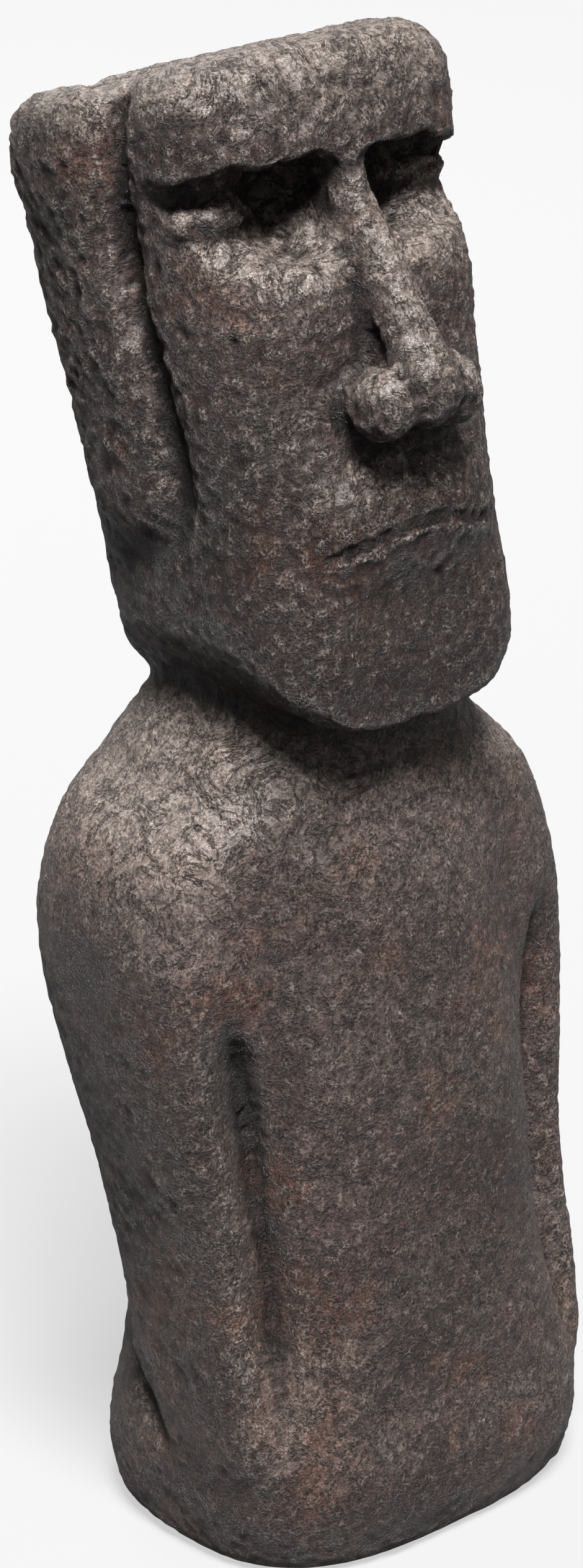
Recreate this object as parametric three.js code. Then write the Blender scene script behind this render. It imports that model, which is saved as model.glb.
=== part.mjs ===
// A garden figure in the manner of an Easter Island moai: a tall head with a heavy brow, a long nose and long ears,
// leaning back a little over a narrow body with its arms at its sides. It is cast in one piece and stands on its own
// flat underside.
//
// Units are millimetres and degrees. +Z is up, the figure faces -Y, and the origin is on the floor under the middle
// of its bounding box.
//
// The figure is one distance field, negative inside the figure, made of a body and a head. A sphere's lattice of
// vertices is then pushed out along rays from a spine inside the figure until each vertex lies on the surface.
import * as THREE from "three";
import { mergeVertices } from "three/addons/utils/BufferGeometryUtils.js";

// ---------------------------------------------------------------------------------------------- driving dimensions
const HEIGHT = 800; // floor to the top of the head, to which the finished figure is scaled
const HEAD_LEAN = THREE.MathUtils.degToRad(10); // the head leans back by this much
const NECK = { y: 34, z: 446 }; // the middle of the jaw's underside, where the head's own axis starts
const CROWN = 331; // from the jaw's underside to the flat top, along the head's axis

const AROUND = 60; // vertices round the figure
const FRONT_CROWDING = 0.42; // 0 spaces them evenly, and nearer 1 moves them towards the face

const STONE = { color: 0x5d5450, roughness: 0.85, metalness: 0 };

// ------------------------------------------------------------------------------------------------ distance helpers
const { sin, cos, abs, min, max, hypot, pow } = Math;
const clamp = THREE.MathUtils.clamp;

// Joins two distances with a fillet about k wide, takes one away from another, or keeps what they share.
function join(a, b, k) {
  const h = max(k - abs(a - b), 0) / k;
  return min(a, b) - (h * h * k) / 4;
}
const carve = (a, b, k) => -join(-a, b, k);
const keep = (a, b, k) => -join(-a, -b, k);

// A smooth curve through stations [{ z, ...sizes }], read as sizeAt(stations, "width", z).
function sizeAt(stations, key, z) {
  const last = stations.length - 1;
  if (z <= stations[0].z) return stations[0][key];
  if (z >= stations[last].z) return stations[last][key];
  const i = stations.findIndex((s) => s.z > z) - 1;
  const slope = (j) => {
    const from = stations[max(j - 1, 0)];
    const to = stations[min(j + 1, last)];
    return (to[key] - from[key]) / (to.z - from.z);
  };
  const [a, b] = [stations[i], stations[i + 1]];
  const span = b.z - a.z;
  const t = (z - a.z) / span;
  return (
    a[key] * (1 + 2 * t) * (1 - t) ** 2 +
    slope(i) * span * t * (1 - t) ** 2 +
    b[key] * t * t * (3 - 2 * t) -
    slope(i + 1) * span * t * t * (1 - t)
  );
}

// A column whose level sections are rounded rectangles: half as wide as width, reaching front and back from y = 0.
// square is the superellipse's power, 2 for an ellipse and more for squarer corners.
function column(stations, x, y, z) {
  const halfWidth = sizeAt(stations, "width", z) / 2;
  const front = sizeAt(stations, "front", z);
  const back = sizeAt(stations, "back", z);
  const square = sizeAt(stations, "square", z);
  const halfDepth = (front + back) / 2;
  const across = abs(x) / halfWidth;
  const along = abs(y - (back - front) / 2) / halfDepth;
  const reach = pow(pow(across, square) + pow(along, square), 1 / square);
  return (reach - 1) * min(halfWidth, halfDepth);
}

function ellipsoid(x, y, z, [cx, cy, cz], [rx, ry, rz]) {
  const [a, b, c] = [(x - cx) / rx, (y - cy) / ry, (z - cz) / rz];
  const reach = hypot(a, b, c);
  const steep = hypot(a / rx, b / ry, c / rz);
  return steep > 0 ? (reach * (reach - 1)) / steep : -min(rx, ry, rz);
}

// A rod from a to b whose radius goes from ra to rb. flat below 1 squashes it along x about its own line.
function rod(x, y, z, [ax, ay, az], [bx, by, bz], ra, rb, flat = 1) {
  const [dx, dy, dz] = [bx - ax, by - ay, bz - az];
  const [px, py, pz] = [x - ax, y - ay, z - az];
  const t = clamp((px * dx + py * dy + pz * dz) / (dx * dx + dy * dy + dz * dz), 0, 1);
  const away = hypot((px - t * dx) / flat, py - t * dy, pz - t * dz);
  return (away - (ra + t * (rb - ra))) * flat;
}

// ------------------------------------------------------------------------------------------------------- the body
const TORSO = [
  { z: 0, width: 242, front: 96, back: 90, square: 2.8 },
  { z: 30, width: 252, front: 103, back: 96, square: 2.9 },
  { z: 90, width: 234, front: 96, back: 90, square: 2.9 },
  { z: 150, width: 214, front: 88, back: 90, square: 2.8 },
  { z: 235, width: 206, front: 80, back: 96, square: 2.6 },
  { z: 300, width: 206, front: 70, back: 104, square: 2.4 },
  { z: 360, width: 206, front: 60, back: 112, square: 2.3 },
  { z: 400, width: 196, front: 50, back: 112, square: 2.3 },
  { z: 430, width: 168, front: 42, back: 108, square: 2.3 },
  { z: 460, width: 146, front: 34, back: 102, square: 2.3 },
  { z: 500, width: 140, front: 34, back: 100, square: 2.3 },
];
const ARM = [
  { z: 50, out: 98, along: -22, thick: 18, deep: 30 },
  { z: 90, out: 101, along: -24, thick: 21, deep: 38 },
  { z: 145, out: 99, along: -11, thick: 26, deep: 46 },
  { z: 235, out: 106, along: 14, thick: 31, deep: 58 },
  { z: 300, out: 108.5, along: 29, thick: 33, deep: 64 },
  { z: 350, out: 107.5, along: 39, thick: 33, deep: 62 },
  { z: 395, out: 97, along: 41, thick: 32, deep: 58 },
  { z: 425, out: 74, along: 46, thick: 28, deep: 50 },
];
// The crease between the arm and the torso, which fades out upwards into the shoulder.
const FOLD = { fillet: 28, depth: 5, width: 34, below: 180, gone: 300 };

// The arm on the side where x is positive: level ellipses about a line that swings forwards as it goes down.
function arm(x, y, z) {
  const [thick, deep] = [sizeAt(ARM, "thick", z), sizeAt(ARM, "deep", z)];
  const across = abs(x - sizeAt(ARM, "out", z)) / thick;
  const along = abs(y - sizeAt(ARM, "along", z)) / deep;
  const reach = pow(pow(across, 2.2) + pow(along, 2.2), 1 / 2.2);
  return keep(keep((reach - 1) * thick, z - 432, 40), 50 - z, 20);
}

function body(x, y, z) {
  const torso = keep(column(TORSO, x, y, z), z - 500, 20);
  const limb = arm(abs(x), y, z);
  const softness = THREE.MathUtils.smoothstep(z, FOLD.below, FOLD.gone);
  const fold = FOLD.depth * (1 - softness) * max(1 - abs(torso - limb) / FOLD.width, 0);
  return keep(join(torso, limb, FOLD.fillet * (1 + softness)) + fold, -z, 12);
}

// ------------------------------------------------------------------------------------------------------- the head
const CROWN_FALL = 0.15; // the flat top sinks this much for each millimetre towards the back
const JAW_RISE = 0.27; // the jaw's underside climbs this much for each millimetre back from the chin
const BROW = 285; // the level underside of the brow
const SKULL = [
  { z: -20, width: 158, front: 98, back: 34, square: 3.4 },
  { z: 30, width: 172, front: 104, back: 56, square: 3.6 },
  { z: 100, width: 176, front: 103, back: 72, square: 3.4 },
  { z: 170, width: 181, front: 102, back: 74, square: 3.3 },
  { z: 215, width: 182, front: 99, back: 73, square: 3.3 },
  { z: 250, width: 182, front: 92, back: 72, square: 3.3 },
  { z: 287, width: 189, front: 95, back: 66, square: 3.4 },
  { z: 345, width: 182, front: 86, back: 46, square: 3.2 },
];

function ear(x, y, z) {
  const lobe = rod(x, y, z, [90, 23, 291], [89, 9, 147], 32, 31, 0.56);
  const top = ellipsoid(x, y, z, [88, 18, 290], [21, 40, 42]);
  return join(lobe, top, 10);
}

function nose(x, y, z) {
  const ridge = rod(x, y, z, [0, -80, 274], [0, -122, 172], 12, 20);
  const wing = ellipsoid(abs(x), y, z, [18, -101, 163], [20, 27, 21]);
  return join(ridge, wing, 14);
}

// The socket's roof is the level underside of the brow, and its floor slopes out onto the cheek.
function socket(x, y, z) {
  const outer = ellipsoid(x, y, z, [64, -104, 268], [46, 42, 32]);
  const inner = ellipsoid(x, y, z, [34, -98, 268], [27, 42, 32]);
  return keep(join(outer, inner, 12), z - BROW, 6);
}

const eye = (x, y, z) => ellipsoid(x, y, z, [62, -54, 260], [26, 16, 13]);
const cheek = (x, y, z) => ellipsoid(x, y, z, [38, -68, 218], [32, 28, 38]);
const lips = (x, y, z) => ellipsoid(x, y, z, [0, -90, 104], [56, 23, 34]);
const mouth = (x, y, z) => rod(x, y, z, [0, -112, 95], [60, -97, 92], 3, 3);

function head(x, y, z) {
  let d = join(column(SKULL, x, y, z), lips(x, y, z), 14);
  d = join(d, cheek(abs(x), y, z), 20);
  d = carve(d, socket(abs(x), y, z), 10);
  d = join(d, eye(abs(x), y, z), 6);
  d = join(d, nose(x, y, z), 13);
  d = join(d, ear(abs(x), y, z), 14);
  d = carve(d, mouth(abs(x), y, z), 4);
  d = keep(d, z + CROWN_FALL * y - CROWN, 26);
  return keep(d, JAW_RISE * (y + 95) + 0.002 * x * x - z - 6, 10);
}

function figure(x, y, z) {
  const [dy, dz] = [y - NECK.y, z - NECK.z];
  const headY = dy * cos(HEAD_LEAN) - dz * sin(HEAD_LEAN);
  const headZ = dy * sin(HEAD_LEAN) + dz * cos(HEAD_LEAN);
  return join(body(x, y, z), head(x, headY, headZ), 10);
}

// --------------------------------------------------------------------------------------------- lattice to surface
// Each band of rows sends its rays out from the spine, which runs up the body and on along the head's own axis.
// at is where they start, measured along the spine from the neck. lean turns them with the head where it is 1, and
// leaves them level where it is 0. tilt is their slope above that.
const BANDS = [
  { rows: 9, at: [288, 288], lean: [1, 1], tilt: [90, 6] },
  { rows: 36, at: [288, 34], lean: [1, 1], tilt: [0, 0] },
  { rows: 7, at: [30, 18], lean: [1, 0], tilt: [-3, -10] },
  { rows: 4, at: [10, -22], lean: [0, 0], tilt: [-9, -1] },
  { rows: 20, at: [-36, -406], lean: [0, 0], tilt: [0, 0] },
  { rows: 4, at: [-412, -412], lean: [0, 0], tilt: [-4, -20] },
  { rows: 1, at: [-412, -412], lean: [0, 0], tilt: [-90, -90] },
];

function rayOf(row, column) {
  let first = 0;
  const band = BANDS.find((b) => {
    first += b.rows;
    return row < first;
  });
  const t = band.rows === 1 ? 0 : (row - first + band.rows) / (band.rows - 1);
  const at = THREE.MathUtils.lerp(...band.at, t);
  const lean = THREE.MathUtils.lerp(...band.lean, t) * HEAD_LEAN;
  const tilt = THREE.MathUtils.degToRad(THREE.MathUtils.lerp(...band.tilt, t));
  const even = (2 * Math.PI * (column % AROUND)) / AROUND;
  const turn = even - FRONT_CROWDING * sin(even);
  const [x, y, z] = [sin(turn) * cos(tilt), -cos(turn) * cos(tilt), sin(tilt)];
  const spineLean = at > 0 ? HEAD_LEAN : Math.atan(NECK.y / NECK.z);
  const up = at > 0 ? cos(HEAD_LEAN) : 1;
  return {
    from: [0, NECK.y + at * up * Math.tan(spineLean), NECK.z + at * up],
    along: [x, y * cos(lean) + z * sin(lean), z * cos(lean) - y * sin(lean)],
  };
}

// The first point outwards along a ray where the figure ends.
function surfacePoint({ from, along }) {
  const point = (r) => from.map((start, i) => start + r * along[i]);
  const step = 2;
  let outside = step;
  while (figure(...point(outside)) < 0) outside += step;
  let inside = outside - step;
  for (let i = 0; i < 24; i++) {
    const middle = (inside + outside) / 2;
    if (figure(...point(middle)) < 0) inside = middle;
    else outside = middle;
  }
  return point((inside + outside) / 2);
}

function figureGeometry() {
  const rows = BANDS.reduce((sum, band) => sum + band.rows, 0);
  const lattice = new THREE.SphereGeometry(1, AROUND, rows - 1);
  lattice.deleteAttribute("normal");
  lattice.deleteAttribute("uv");
  const position = lattice.getAttribute("position");
  for (let i = 0; i < position.count; i++) {
    const [row, column] = [Math.floor(i / (AROUND + 1)), i % (AROUND + 1)];
    const polar = row === 0 || row === rows - 1;
    position.setXYZ(i, ...surfacePoint(rayOf(row, polar ? 0 : column)));
  }
  const geometry = mergeVertices(lattice, 1e-3);
  geometry.computeBoundingBox();
  const box = geometry.boundingBox;
  geometry.translate(-(box.min.x + box.max.x) / 2, -(box.min.y + box.max.y) / 2, -box.min.z);
  const scale = HEIGHT / (box.max.z - box.min.z);
  geometry.scale(scale, scale, scale);
  geometry.computeVertexNormals();
  return geometry;
}

const statue = new THREE.Mesh(figureGeometry(), new THREE.MeshStandardMaterial(STONE));
statue.name = "statue";
const group = new THREE.Group();
group.add(statue);
export default group;
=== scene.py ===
# %% [markdown]
# # A moai in cast stone
#
# The object is a garden figure in the manner of an Easter Island moai, cast in one piece. The
# casting has two kinds of shape. The large one, the body, the leaning head, the brow and the nose,
# is already in the frame's solid. The fine one, sharp creases, eyes, lips, pits and grit, is what
# this lesson adds, the way a sculptor goes over a roughed-out block.

import bpy
import numpy as np
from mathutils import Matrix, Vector, noise


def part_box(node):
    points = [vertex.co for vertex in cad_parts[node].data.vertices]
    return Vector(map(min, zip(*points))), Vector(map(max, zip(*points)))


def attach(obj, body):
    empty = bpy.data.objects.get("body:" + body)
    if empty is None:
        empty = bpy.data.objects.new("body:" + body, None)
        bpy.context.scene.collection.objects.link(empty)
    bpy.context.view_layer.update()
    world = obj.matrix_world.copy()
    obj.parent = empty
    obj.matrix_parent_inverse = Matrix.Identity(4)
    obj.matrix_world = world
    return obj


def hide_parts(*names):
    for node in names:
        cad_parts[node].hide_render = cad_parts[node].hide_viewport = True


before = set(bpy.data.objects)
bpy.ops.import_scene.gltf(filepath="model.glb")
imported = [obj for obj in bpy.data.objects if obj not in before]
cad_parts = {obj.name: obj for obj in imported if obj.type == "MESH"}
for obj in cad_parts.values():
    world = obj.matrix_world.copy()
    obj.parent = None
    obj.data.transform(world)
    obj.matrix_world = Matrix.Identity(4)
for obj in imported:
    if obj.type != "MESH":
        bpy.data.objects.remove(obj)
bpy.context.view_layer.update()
block_lo, block_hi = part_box("statue")
height = block_hi.z - block_lo.z
print("the block is", [round(s, 3) for s in block_hi - block_lo], "m")

# %% [markdown]
# ## The camera and the light
#
# The figure is taller than it is wide by more than two to one, so it stands in an upright frame. A
# long lens from a little over two and a half metres away keeps the base and the crown nearly the
# same scale. The viewer stands to the figure's right hand and looks down on it from a standing
# person's height.

# %% Camera


def look_from(azimuth, elevation, distance, target):
    """A point at this distance from the target, turned from the front and raised, both in degrees."""
    turn, rise = np.radians(azimuth), np.radians(elevation)
    away = Vector((np.sin(turn) * np.cos(rise), -np.cos(turn) * np.cos(rise), np.sin(rise)))
    return target + away * distance


CAMERA_TARGET = Vector((-0.0163, -0.0024, 0.5051 * height))
camera_data = bpy.data.cameras.new("camera")
camera_data.sensor_fit = "VERTICAL"
camera_data.sensor_height = 36.0
camera_data.lens = 115.0
camera = bpy.data.objects.new("camera", camera_data)
camera.location = look_from(-40.64, 23.52, 2.615, CAMERA_TARGET)
camera.rotation_euler = (CAMERA_TARGET - camera.location).to_track_quat("-Z", "Y").to_euler()
bpy.context.scene.collection.objects.link(camera)
bpy.context.scene.camera = camera
print("camera at", [round(c, 3) for c in camera.location])

# %% [markdown]
# Dark stone takes a strong light to show its grain. The key is a sun of a wide angle, which stands
# for a broad lamp high on the viewer's side, so its shadows have soft edges. A weak lamp on the
# other side fills them, and a third stands behind the figure. The surround is faint to the stone
# and nearly white to the camera. The floor is a dark sheet with a faint glow, which is stronger to
# the camera, so it reads as pale paper and throws little light back.

# %% Light and floor


def soft_light(name, azimuth, elevation, distance, size, power):
    target = Vector((0, 0, 0.55 * height))
    data = bpy.data.lights.new(name, "AREA")
    data.shape = "DISK"
    data.size = size
    data.energy = power
    light = bpy.data.objects.new(name, data)
    light.location = look_from(azimuth, elevation, distance, target)
    light.rotation_euler = (target - light.location).to_track_quat("-Z", "Y").to_euler()
    bpy.context.scene.collection.objects.link(light)
    return light


sun_data = bpy.data.lights.new("key", "SUN")
sun_data.energy = 13.4
sun_data.angle = np.radians(22)
sun = bpy.data.objects.new("key", sun_data)
sun.rotation_euler = (-look_from(-30, 66, 1.0, Vector((0, 0, 0)))).to_track_quat("-Z", "Y").to_euler()
bpy.context.scene.collection.objects.link(sun)
soft_light("fill", 20, 30, 3.0, 2.0, 6)
soft_light("behind", 160, 35, 3.0, 2.0, 45)

bpy.context.scene.view_settings.view_transform = "Standard"
world = bpy.data.worlds.new("studio")
world.use_nodes = True
backdrop = world.node_tree.nodes["Background"]
backdrop.inputs["Color"].default_value = (1.0, 1.0, 1.0, 1.0)
seen = world.node_tree.nodes.new("ShaderNodeLightPath")
glow = world.node_tree.nodes.new("ShaderNodeMapRange")
glow.inputs["To Min"].default_value = 0.16  # what lights the stone
glow.inputs["To Max"].default_value = 0.93  # what the camera sees behind it
world.node_tree.links.new(seen.outputs["Is Camera Ray"], glow.inputs["Value"])
world.node_tree.links.new(glow.outputs["Result"], backdrop.inputs["Strength"])
bpy.context.scene.world = world

FLOOR_SIZE, FLOOR_GAP = 12, 0.0005  # the sheet lies a hair below the figure's underside
bpy.ops.mesh.primitive_plane_add(size=FLOOR_SIZE, location=(0, 0, -FLOOR_GAP))
floor = bpy.context.object
floor.name = "floor"
paper = bpy.data.materials.new("paper")
paper.use_nodes = True
paper_shader = paper.node_tree.nodes["Principled BSDF"]
paper_shader.inputs["Base Color"].default_value = (0.08, 0.08, 0.08, 1.0)
paper_shader.inputs["Roughness"].default_value = 1.0
paper_shader.inputs["Specular IOR Level"].default_value = 0.0
paper_shader.inputs["Emission Color"].default_value = (1.0, 1.0, 1.0, 1.0)
paper_seen = paper.node_tree.nodes.new("ShaderNodeLightPath")
paper_glow = paper.node_tree.nodes.new("ShaderNodeMapRange")
paper_glow.inputs["To Min"].default_value = 0.1  # what lights the stone
paper_glow.inputs["To Max"].default_value = 0.58  # what the camera sees
paper.node_tree.links.new(paper_seen.outputs["Is Camera Ray"], paper_glow.inputs["Value"])
paper.node_tree.links.new(paper_glow.outputs["Result"], paper_shader.inputs["Emission Strength"])
floor.data.materials.append(paper)

# %% [markdown]
# ## From block to clay
#
# A sculptor wants clay that is the same everywhere, without the long triangles of a drawing. So a
# copy of the block's mesh has its loose triangles merged and is then remeshed into even squares,
# coarse ones at first. The remesh is the voxel kind, because it closes every seam and gives the
# same spacing on the nose as on the back.

# %% Even clay
CLAY_STEP = 0.00295  # the side of one square of the finished clay


def even_out(obj, step):
    """Remesh into even squares of this side."""
    remesh = obj.modifiers.new("even", "REMESH")
    remesh.mode = "VOXEL"
    remesh.voxel_size = step
    made = bpy.data.meshes.new_from_object(obj.evaluated_get(bpy.context.evaluated_depsgraph_get()))
    obj.modifiers.clear()
    obj.data = made
    return made


block = bpy.data.objects["statue"]
clay = bpy.data.objects.new("stone_figure", block.data.copy())
clay.data.materials.clear()
bpy.context.scene.collection.objects.link(clay)
bpy.context.view_layer.objects.active = clay

merge = clay.modifiers.new("merge", "WELD")
merge.merge_threshold = 1e-5
coarse = even_out(clay, 2 * CLAY_STEP)
print("the coarse clay has", len(coarse.vertices), "points and", len(coarse.polygons), "squares")

# %% [markdown]
# ## The sculptor's guide
#
# Stone has soft forms that meet in crisp lines, and smoothing a mesh loses the lines while
# subdividing it keeps the facets. A guide avoids both. It is a rule that gives, for any point,
# about how far outside the figure that point is. The clay is then pushed onto the places where the
# distance is nought. The guide works in millimetres, for whole arrays of points at once, and its
# first tools join, cut and fillet two shapes.

# %% Tools for distances


def join(a, b, k):
    """The nearer of two shapes, with a fillet about k wide where they meet."""
    h = np.maximum(k - np.abs(a - b), 0) / k
    return np.minimum(a, b) - h * h * k / 4


def carve(a, b, k):
    return -join(-a, b, k)


def keep(a, b, k):
    return -join(-a, -b, k)


def ramp(x, start, end):
    """0 before start and 1 after end, with a soft climb between them."""
    t = np.clip((x - start) / (end - start), 0, 1)
    return t * t * (3 - 2 * t)


def along_stations(stations, column, z):
    """A smooth curve through one column of a table of stations, whose first column is the height."""
    table = np.array(stations, float)
    knots, values = table[:, 0], table[:, column]
    slopes = np.gradient(values, knots)
    i = np.clip(np.searchsorted(knots, z) - 1, 0, len(knots) - 2)
    span = knots[i + 1] - knots[i]
    t = np.clip((z - knots[i]) / span, 0, 1)
    a, b = values[i], values[i + 1]
    ends = a * (1 + 2 * t) * (1 - t) ** 2 + b * t * t * (3 - 2 * t)
    return ends + slopes[i] * span * t * (1 - t) ** 2 - slopes[i + 1] * span * t * t * (1 - t)


def rounded_column(stations, x, y, z):
    """Level sections that are rounded rectangles: rows of height, width, front, back, squareness."""
    half_width = along_stations(stations, 1, z) / 2
    front, back = along_stations(stations, 2, z), along_stations(stations, 3, z)
    square = along_stations(stations, 4, z)
    half_depth = (front + back) / 2
    across = np.abs(x) / half_width
    along = np.abs(y - (back - front) / 2) / half_depth
    reach = (across**square + along**square + 1e-12) ** (1 / square)
    return (reach - 1) * np.minimum(half_width, half_depth)


def ball(x, y, z, centre, radii):
    a, b, c = (x - centre[0]) / radii[0], (y - centre[1]) / radii[1], (z - centre[2]) / radii[2]
    reach = np.sqrt(a * a + b * b + c * c) + 1e-9
    steep = np.sqrt((a / radii[0]) ** 2 + (b / radii[1]) ** 2 + (c / radii[2]) ** 2) + 1e-9
    return reach * (reach - 1) / steep


def rod(x, y, z, start, end, start_radius, end_radius, flat=1.0):
    """A round bar between two points. flat below 1 squashes it from side to side."""
    start, end = np.array(start, float), np.array(end, float)
    d = end - start
    px, py, pz = x - start[0], y - start[1], z - start[2]
    t = np.clip((px * d[0] + py * d[1] + pz * d[2]) / (d @ d), 0, 1)
    away = np.sqrt(((px - t * d[0]) / flat) ** 2 + (py - t * d[1]) ** 2 + (pz - t * d[2]) ** 2)
    return (away - (start_radius + t * (end_radius - start_radius))) * flat


def path_distance(x, y, z, points):
    """The distance to a bent line, and how far along it, from 0 to 1, the nearest place is."""
    points = np.array(points, float)
    lengths = np.linalg.norm(np.diff(points, axis=0), axis=1)
    starts = np.concatenate([[0], np.cumsum(lengths)]) / lengths.sum()
    best, place = np.full(x.shape, 1e9), np.zeros(x.shape)
    for i, length in enumerate(lengths):
        d = points[i + 1] - points[i]
        px, py, pz = x - points[i, 0], y - points[i, 1], z - points[i, 2]
        t = np.clip((px * d[0] + py * d[1] + pz * d[2]) / length**2, 0, 1)
        away = np.sqrt((px - t * d[0]) ** 2 + (py - t * d[1]) ** 2 + (pz - t * d[2]) ** 2)
        nearer = away < best
        best = np.where(nearer, away, best)
        place = np.where(nearer, starts[i] + t * length / lengths.sum(), place)
    return best, place


# %% [markdown]
# ## The body
#
# The torso is a plain block with rounded corners, broad at the base and narrowing to the neck. The
# arms are flat slabs that lie against its sides, deep at the shoulder and tapering forwards to the
# hip. Each arm is parted from the chest by one long tooled groove that fades out at both ends.
# Behind, a crease parts it from the back low down, and higher up the two run together in a wide
# fillet. The tables hold level sections of those forms, and each groove is a bent line that is
# pressed in afterwards.

# %% Body and arms
DRAWN_HEIGHT = 794.0  # the guide is drawn at this height, and the block is a touch taller
AXIS_BEHIND = 23.4  # from the body's own axis back to the middle of the block
NECK_Y, NECK_Z = 34.0, 446.0  # where the head is set on, back from the body's axis and up from the floor
HEAD_LEAN = np.radians(10)  # the head leans back by this much

TORSO = [  # height, width, front, back, squareness
    (0, 242, 96, 90, 2.8),
    (30, 252, 103, 96, 2.9),
    (90, 234, 96, 90, 2.9),
    (150, 214, 88, 90, 2.8),
    (235, 206, 80, 96, 2.6),
    (300, 206, 70, 104, 2.4),
    (360, 206, 60, 112, 2.3),
    (400, 196, 50, 112, 2.3),
    (430, 168, 42, 108, 2.3),
    (460, 146, 34, 102, 2.3),
    (500, 140, 34, 100, 2.3),
]
ARM = [  # height, out from the middle, back from the axis, half thickness, half depth
    (50, 99, -34, 18, 32),
    (70, 101, -31, 23, 38),
    (100, 102, -17, 25, 49),
    (145, 101, -7, 27, 51),
    (235, 109, 13, 31, 59),
    (300, 113, 27, 33, 65),
    (350, 112, 37, 33, 63),
    (395, 96, 41, 31, 56),
    (425, 71, 46, 27, 48),
]
FRONT_GROOVE = [  # out from the middle, back from the axis, height
    (106, -28, 334),
    (101, -33, 290),
    (97, -44, 228),
    (95, -54, 173),
    (97, -63, 123),
    (100, -71, 62),
]
BACK_CREASE = [(112, 70, 200), (112, 52, 158), (114, 34, 100), (120, 8, 68), (122, -10, 52)]
GROOVE_FACES = (0.55, -0.83, 0)  # the chest's groove is seen from in front and outside
GROOVE_REACH = 45  # a groove marks only what lies this near its own line, front to back


def pressed_line(x, y, z, points, facing, width, depth, fade_in, fade_out):
    """How deep a groove is at each point. It follows a bent line, laid flat the way it faces."""
    facing = np.array(facing, float) / np.linalg.norm(facing)
    points = np.array(points, float)
    out = x * facing[0] + y * facing[1] + z * facing[2]
    flat = points - (points @ facing)[:, None] * facing
    away, place = path_distance(x - out * facing[0], y - out * facing[1], z - out * facing[2], flat)
    near = np.abs(out - (points @ facing).mean()) < GROOVE_REACH
    strength = ramp(place, -0.02, fade_in) * (1 - ramp(place, fade_out, 1.02))
    return np.where(near, depth * strength * np.exp(-((away / width) ** 2)), 0)


def arm(x, y, z):
    thick, deep = along_stations(ARM, 3, z), along_stations(ARM, 4, z)
    across = np.abs(x - along_stations(ARM, 1, z)) / thick
    along = np.abs(y - along_stations(ARM, 2, z)) / deep
    square = 2.2 + 1.2 * (1 - ramp(z, 90, 220))
    reach = (across**square + along**square + 1e-12) ** (1 / square)
    return keep(keep((reach - 1) * thick, z - 432, 40), 50 - z, 20)


def body(x, y, z):
    side = np.abs(x)
    torso = keep(rounded_column(TORSO, x, y, z), z - 500, 20)
    softness = ramp(z, 215, 330)
    figure = join(torso, arm(side, y, z), 12 + 27 * softness)
    figure = figure + pressed_line(side, y, z, FRONT_GROOVE, GROOVE_FACES, 18, 4, 0.25, 0.6)
    figure = figure + pressed_line(side, y, z, FRONT_GROOVE, GROOVE_FACES, 8, 4.5, 0.2, 0.75)
    figure = figure + pressed_line(side, y, z, BACK_CREASE, (1, 0.35, 0), 6, 5, 0.3, 0.7)
    return keep(figure, -z, 10)


# %% [markdown]
# ## The head
#
# The head is drawn upright in its own frame and then leant back. A brow like a shelf overhangs two
# deep sockets, and in each lies a shallow almond of an eye. The nose widens from a narrow bridge to
# a round tip with a ball on each side, and its underside is cut flat. The mouth is one thin tooled
# line between tight lips. The ears are long slabs laid on the sides of the head, with a groove in
# front, a fuller top and a rounded lobe.

# %% Head
CROWN = 333.0  # the flat top's height above the neck
CROWN_FALL = 0.16  # how much the top sinks for each millimetre towards the back

SKULL = [  # height, width, front, back, squareness
    (-20, 160, 99, 34, 3.4),
    (30, 172, 104, 56, 3.8),
    (100, 176, 103, 72, 3.5),
    (170, 181, 102, 74, 3.3),
    (215, 182, 99, 73, 3.3),
    (250, 182, 92, 72, 3.3),
    (287, 189, 95, 66, 3.5),
    (345, 182, 86, 46, 3.3),
]
# Out from the middle, back from the axis, height.
MOUTH = [(0, -112, 101), (16, -111, 100.5), (32, -107, 96), (50, -100, 91.5), (58, -96, 89)]
MOUTH_FACES = (0.2, -1, 0)
LOWER_LIP_DROP = 5.5
# Back from the axis, height.
EAR_GROOVE = [(-26, 336), (-22, 295), (-18, 255), (-21, 220), (-31, 174), (-36, 124), (-28, 101), (-6, 92)]
EAR_OUT = 90


def ear(x, y, z):
    slab = rod(x, y, z, (91, 19, 292), (85, 2, 138), 40, 38, 0.42)
    top = ball(x, y, z, (88, 14, 294), (21, 43, 42))
    return keep(join(slab, top, 10), z + 0.12 * y - CROWN, 14)


def nose(x, y, z):
    ridge = rod(x, y, z, (0, -80, 276), (0, -125, 180), 11, 16)
    wing = ball(np.abs(x), y, z, (21, -117, 165), (17, 22, 20))
    tip = ball(x, y, z, (0, -125, 169), (19, 21, 20))
    whole = join(join(ridge, tip, 6), wing, 3)
    return keep(whole, 144 - 0.2 * (y + 119) - z, 4)


def brow_roof(x):
    """The brow's lower edge, which dips at the middle and the ends, and more at the figure's left."""
    side = np.abs(x)
    level = 287 - 0.006 * np.maximum(side - 60, 0) ** 2 - 0.014 * np.maximum(25 - side, 0) ** 2
    ragged = 1.3 * np.sin(x / 6.5) + 0.9 * np.sin(x / 3.7 + 1)
    return level + ragged - 12 * (np.maximum(x, 0) / 90) ** 2


def hollow(side, y, z):
    """The socket, whose floor slopes out onto the cheek. Towards the nose it is deeper."""
    temple = ball(side, y, z, (90, -84, 271), (24, 36, 17))
    outer = ball(side, y, z, (62, -104, 269), (46, 42, 30))
    inner = ball(side, y, z, (34, -98, 269), (27, 46, 31))
    return join(join(outer, temple, 12), inner, 12)


def eye(side, y, z):
    return ball(side, y, z, (64, -51, 263), (26, 18, 10.5))


def cheek(side, y, z):
    return ball(side, y, z, (38, -68, 218), (32, 30, 38))


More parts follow.
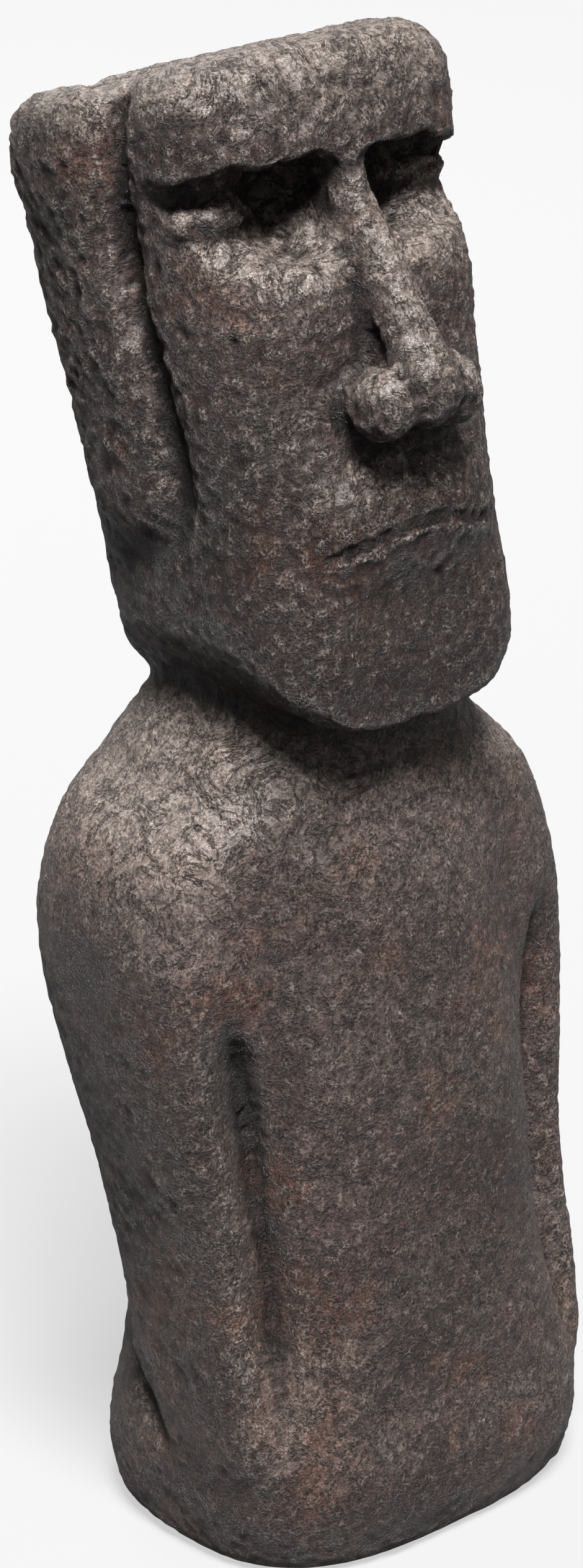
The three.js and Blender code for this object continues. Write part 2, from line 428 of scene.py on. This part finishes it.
def head(x, y, z):
    side = np.abs(x)
    skull = rounded_column(SKULL, x, y, z)
    figure = join(skull, ball(x, y, z, (0, -91, 104), (56, 24, 34)), 16)
    figure = join(figure, cheek(side, y, z), 20)
    brow = keep(skull, brow_roof(x) - z, 5)
    figure = carve(figure, hollow(side, y, z), 14)
    figure = join(figure, eye(side, y, z), 3)
    figure = join(figure, brow, 3)
    figure = join(figure, nose(x, y, z), 7)
    figure = keep(figure, z + CROWN_FALL * y - CROWN, 28)
    figure = join(figure, ear(side, y, z), 5)
    ear_line = [(EAR_OUT, back, up) for back, up in EAR_GROOVE]
    figure = figure + pressed_line(side, y, z, ear_line, (1, 0, 0), 13, 2.5, 0.12, 0.75)
    figure = figure + pressed_line(side, y, z, ear_line, (1, 0, 0), 5.5, 5, 0.14, 0.7)
    figure = figure + pressed_line(side, y, z, MOUTH, MOUTH_FACES, 2.5, 3.4, -0.01, 0.8)
    lower_lip = [(out, back, up - LOWER_LIP_DROP) for out, back, up in MOUTH]
    figure = figure - pressed_line(side, y, z, lower_lip, MOUTH_FACES, 4.0, 1.8, -0.01, 0.6)
    jaw = 30 * (side / 80) ** 4 + 0.12 * (y + 95) - 3
    return keep(figure, jaw - z, 7)


def distance(points):
    """How far outside the figure each point is. Points and distances are in metres, in the frame's axes."""
    scale = DRAWN_HEIGHT / height
    x, y, z = points[:, 0] * scale, points[:, 1] * scale + AXIS_BEHIND, points[:, 2] * scale
    dy, dz = y - NECK_Y, z - NECK_Z
    head_y = dy * np.cos(HEAD_LEAN) - dz * np.sin(HEAD_LEAN)
    head_z = dy * np.sin(HEAD_LEAN) + dz * np.cos(HEAD_LEAN)
    return join(body(x, y, z), head(x, head_y, head_z), 8) / scale


# %% [markdown]
# ## Pressing the clay to the guide
#
# Each point slides along the guide's steepest direction until it lies on the figure. A long slide
# stretches the squares and crowds them into the grooves, so pressing and smoothing go by turns, and
# a last press brings back what the smoothing rounded off. The coarse clay makes the long way. It is
# then remeshed at its final step and settled once more.

# %% Press and smooth by turns
MM_PER_M = 1000.0
FEELER = 0.4e-3  # how far apart the guide is read to find its steepest direction


def slopes_at(points, here):
    steps = np.eye(3) * FEELER
    return np.stack([(distance(points + s) - here) / FEELER for s in steps], axis=1)


def points_of(mesh):
    points = np.empty(len(mesh.vertices) * 3)
    mesh.vertices.foreach_get("co", points)
    return points.reshape(-1, 3)


def press(mesh, rounds, longest):
    """Slide every point towards the figure, by no more than the longest step in each round."""
    points = points_of(mesh)
    for _ in range(rounds):
        here = distance(points)
        slope = slopes_at(points, here)
        move = slope * (here / np.maximum((slope**2).sum(1), 0.05))[:, None]
        size = np.linalg.norm(move, axis=1)
        move *= (np.minimum(size, longest) / np.maximum(size, 1e-9))[:, None]
        points -= move
    mesh.vertices.foreach_set("co", points.ravel())
    mesh.update()
    return np.abs(here).max()


def arrays_of(mesh):
    normals = np.empty(len(mesh.vertices) * 3)
    mesh.vertices.foreach_get("normal", normals)
    edges = np.empty(len(mesh.edges) * 2, dtype=np.int64)
    mesh.edges.foreach_get("vertices", edges)
    return points_of(mesh), normals.reshape(-1, 3), edges.reshape(-1, 2)


def blurred(values, edges, rounds):
    """Each point's value becomes the mean of its neighbours' and its own, again and again."""
    a, b = edges[:, 0], edges[:, 1]
    count = len(values)
    share = 1 + np.bincount(a, minlength=count) + np.bincount(b, minlength=count)
    for _ in range(rounds):
        total = values.copy()
        for c in range(values.shape[1]):
            total[:, c] += np.bincount(a, values[b, c], count) + np.bincount(b, values[a, c], count)
        values = total / share[:, None]
    return values


def settle(mesh, turns, longest):
    """Press and smooth by turns, so the squares stay even, and press without smoothing at the end."""
    for _ in range(turns):
        press(mesh, rounds=2, longest=longest)
        points, _, edges = arrays_of(mesh)
        mesh.vertices.foreach_set("co", blurred(points, edges, 2).ravel())
    return press(mesh, rounds=4, longest=longest)


step = CLAY_STEP * 1
settle(clay.data, turns=6, longest=0.004)
even = even_out(clay, step)
left = settle(even, turns=5, longest=0.002)
print("pressed to within", round(left * MM_PER_M, 3), "mm;", len(even.vertices), "points")

# %% [markdown]
# ## The skin of the casting
#
# Cast stone of this kind has three sizes of roughness that the eye sees as shape: slow lumps from
# the modeller's hands, dents and flakes the size of a fingertip, and pits and crumbs of a few
# millimetres. Edges chip first, and the upper part of the head has weathered most. All of these
# move the mesh along the guide's steepest direction, because the mesh's own normals jump about at
# the bottom of a groove. They fade out just above the floor, so that the figure stands flat, and
# nothing is let past the block's box. What is finer than the clay's squares is left to the
# material.

# %% Where edges stand out


def bulge(points, normals, edges, rounds):
    """How far each point stands above its surroundings, in millimetres. It is below nought in a hollow."""
    return ((points - blurred(points, edges, rounds)) * normals).sum(1) * MM_PER_M


points, normals, edges = arrays_of(even)
worn = bulge(points, normals, edges, 14)
print("edges stand up to", round(worn.max(), 1), "mm above their surroundings")

# %% Lumps, dents, pits and chips
SET_IN = 0.9  # millimetres by which the whole skin is sunk, so its lumps stay near the block
LEVEL_FOOT = 0.006  # the relief fades out over this height above the floor


def noise_at(points, per_metre, offset):
    """Smooth noise between about -1 and 1 whose lumps are 1 / per_metre across."""
    shift = Vector((offset, -offset, 2 * offset))
    return np.array([noise.noise(Vector(p) * per_metre + shift) for p in points])


lumps = 1.1 * noise_at(points, 16, 3.1) + 0.6 * noise_at(points, 34, 8.4)
dents = noise_at(points, 75, 1.7)
crumbs = noise_at(points, 190, 5.9)
pits = np.maximum(noise_at(points, 115, 2.3) - 0.3, 0) * 2.2
edge_share = ramp(worn, 0.5, 2.2)
chips = edge_share * np.maximum(noise_at(points, 55, 6.6) + 0.15, 0)
weathered = 1 + 1.1 * ramp(points[:, 2] / height, 0.55, 0.85)
flakes = np.maximum(np.abs(noise_at(points, 62, 4.4)) - 0.25, 0) * (weathered - 1)
grain = weathered * (0.5 * np.minimum(dents, 0.3) + 0.8 * crumbs - 0.7 * pits)
relief = lumps - 2.2 * chips - 2.2 * flakes + grain - SET_IN
level_zone = ramp(points[:, 2], 0.0, LEVEL_FOOT)
outward = slopes_at(points, distance(points))
outward /= np.maximum(np.linalg.norm(outward, axis=1), 0.2)[:, None]
sculpted = points + outward * (relief * level_zone / MM_PER_M)[:, None]
sculpted = np.clip(sculpted, np.array(block_lo), np.array(block_hi))
even.vertices.foreach_set("co", sculpted.ravel())
even.update()
print("relief from", round(relief.min(), 2), "to", round(relief.max(), 2), "mm")

# %% [markdown]
# The material needs to know where the stone is worn and where dirt gathers. Both come from the
# finished mesh: a point that stands above its neighbours is rubbed, and one that lies below them is
# dirty. Each point keeps that height at two sizes, fine and broad, and a third number for how far
# it faces upwards, which the material uses to paint light onto the tops. The material reads them by name.

# %% Wear and dirt


def store(mesh, name, values):
    attribute = mesh.attributes.new(name, "FLOAT", "POINT")
    attribute.data.foreach_set("value", values.astype(np.float32))


points, normals, edges = arrays_of(even)
fine = bulge(points, normals, edges, 3)
broad = bulge(points, normals, edges, 16)
store(even, "fine_height", np.clip(0.5 + fine / 1.6, 0, 1))
store(even, "broad_height", np.clip(0.5 + broad / 6.0, 0, 1))
# How far each point faces upwards, the mask for the painted light on the tops.
store(even, "upward", np.clip(blurred(normals, edges, 6)[:, 2], 0, 1))
print("fine wear spreads over", round(float(fine.std()), 2), "mm")

# %% [markdown]
# ## Dark stained stone
#
# The casting is grey-brown and has been stained nearly black, then rubbed back, so the high spots
# show a paler, drier stone and the hollows keep the stain. The tops that face upwards carry a
# painted light, and the lower face a painted shade. Faint clouds of green-grey and of rust lie in
# the stain, and thin dark cracks run over all of it. A thin wax gives it a soft sheen. The cracks,
# and grit of two sizes finer than the mesh, are also bumps.

# %% Stone material
STAIN, THIN_STAIN = (0.044, 0.027, 0.024), (0.078, 0.051, 0.046)
GREEN_GREY, RUST = (0.056, 0.054, 0.045), (0.125, 0.054, 0.032)
# The first colour here is painted light for the faces that point upwards.
PAINTED_TOP_LIGHT, WORN_EDGE, RUBBED_SPOT = (0.29, 0.24, 0.208), (0.17, 0.14, 0.12), (0.36, 0.31, 0.275)
MIX_BELOW, MIX_ABOVE, MIX_RESULT = 6, 7, 2  # a mix node's sockets for colours

stone = bpy.data.materials.new("stained_stone")
stone.use_nodes = True
nodes, links = stone.node_tree.nodes, stone.node_tree.links
shader = nodes["Principled BSDF"]
place = nodes.new("ShaderNodeTexCoord").outputs["Object"]


def cloud(scale, detail=4.0, roughness=0.55, distortion=0.0):
    node = nodes.new("ShaderNodeTexNoise")
    node.inputs["Scale"].default_value = scale
    node.inputs["Detail"].default_value = detail
    node.inputs["Roughness"].default_value = roughness
    node.inputs["Distortion"].default_value = distortion
    links.new(place, node.inputs["Vector"])
    return node.outputs["Fac"]


def spread(value, low, high, to_low=0.0, to_high=1.0):
    node = nodes.new("ShaderNodeMapRange")
    for name, number in (("From Min", low), ("From Max", high), ("To Min", to_low), ("To Max", to_high)):
        node.inputs[name].default_value = number
    links.new(value, node.inputs["Value"])
    return node.outputs["Result"]


def times(a, b):
    node = nodes.new("ShaderNodeMath")
    node.operation = "MULTIPLY"
    links.new(a, node.inputs[0])
    if isinstance(b, float):
        node.inputs[1].default_value = b
    else:
        links.new(b, node.inputs[1])
    return node.outputs[0]


def blend(share, below, above, how="MIX"):
    node = nodes.new("ShaderNodeMix")
    node.data_type = "RGBA"
    node.blend_type = how
    if isinstance(share, float):
        node.inputs["Factor"].default_value = share
    else:
        links.new(share, node.inputs["Factor"])
    for socket, colour in ((node.inputs[MIX_BELOW], below), (node.inputs[MIX_ABOVE], above)):
        if isinstance(colour, tuple):
            socket.default_value = (*colour, 1.0)
        else:
            links.new(colour, socket)
    return node.outputs[MIX_RESULT]


def darken(share, colour, tint):
    return blend(share, colour, blend(1.0, colour, tint, "MULTIPLY"))


def stored(name):
    node = nodes.new("ShaderNodeAttribute")
    node.attribute_name = name
    return node.outputs["Fac"]


fine_height, broad_height, upward = stored("fine_height"), stored("broad_height"), stored("upward")
grit, dust = cloud(230, 6, 0.75), cloud(620, 3, 0.75)
parted = nodes.new("ShaderNodeSeparateXYZ")
links.new(place, parted.inputs["Vector"])
# Painted shade: a band over the jaw and lower cheeks, where the face turns down out of the light.
lower_face_painted_shade = times(spread(parted.outputs["Z"], 0.44, 0.48), spread(parted.outputs["Z"], 0.68, 0.56))

# The stain comes first, then the painted light on the tops, the paler edges, the dirt, the painted shade on
# the lower face, the grit, the rubbed spots and the cracks.
colour = blend(spread(cloud(9, 5, 0.6), 0.38, 0.62), STAIN, THIN_STAIN)
colour = blend(times(spread(cloud(13, 3), 0.5, 0.66), 0.35), colour, GREEN_GREY)
colour = blend(times(spread(cloud(17, 4, 0.6), 0.52, 0.68), 0.65), colour, RUST)
# Painted light: faces that point upwards are made paler, as if lit from above.
colour = blend(times(spread(upward, 0.08, 0.7), 0.72), colour, PAINTED_TOP_LIGHT)
colour = blend(times(spread(broad_height, 0.62, 0.95), 0.4), colour, WORN_EDGE)
colour = darken(spread(fine_height, 0.45, 0.05), colour, (0.4, 0.38, 0.37))
colour = darken(spread(broad_height, 0.42, 0.1), colour, (0.6, 0.58, 0.57))
# Painted shade: the lower face is darkened.
colour = darken(lower_face_painted_shade, colour, (0.47, 0.45, 0.45))
colour = blend(1.0, colour, spread(grit, 0.36, 0.62, 0.4, 1.35), "MULTIPLY")
colour = blend(1.0, colour, spread(dust, 0.36, 0.64, 0.35, 1.55), "MULTIPLY")
rubbed = times(spread(fine_height, 0.5, 0.9), spread(dust, 0.5, 0.58))
colour = blend(times(rubbed, 0.8), colour, RUBBED_SPOT)
veins = nodes.new("ShaderNodeMath")
veins.operation = "PINGPONG"
veins.inputs[1].default_value = 0.5
links.new(cloud(38, 7, 0.72, 0.8), veins.inputs[0])
unbroken = spread(veins.outputs[0], 0.5, 0.478)  # 1 on whole stone and 0 in a crack
colour = blend(unbroken, blend(1.0, colour, (0.3, 0.28, 0.27), "MULTIPLY"), colour)
links.new(colour, shader.inputs["Base Color"])
links.new(spread(cloud(60, 5, 0.7), 0.35, 0.65, 0.3, 0.48), shader.inputs["Roughness"])


def rough_up(value, depth, under=None):
    node = nodes.new("ShaderNodeBump")
    node.inputs["Strength"].default_value = 1.0
    node.inputs["Distance"].default_value = depth
    links.new(value, node.inputs["Height"])
    if under is not None:
        links.new(under, node.inputs["Normal"])
    return node.outputs["Normal"]


cracks = rough_up(unbroken, 0.0015)
coarse_grit = rough_up(grit, 0.013, cracks)
fine_grit = rough_up(dust, 0.006, coarse_grit)
links.new(fine_grit, shader.inputs["Normal"])
print("the stone material has", len(nodes), "nodes")

# %% [markdown]
# ## Putting it in place
#
# The finished figure stands for the block, so the block is hidden behind it. It takes the stone
# material and rides on the one body.

# %% Finish
clay.data.materials.append(stone)
clay.data.shade_smooth()
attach(clay, "root")
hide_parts("statue")
print("triangles:", sum(len(face.vertices) - 2 for face in clay.data.polygons))
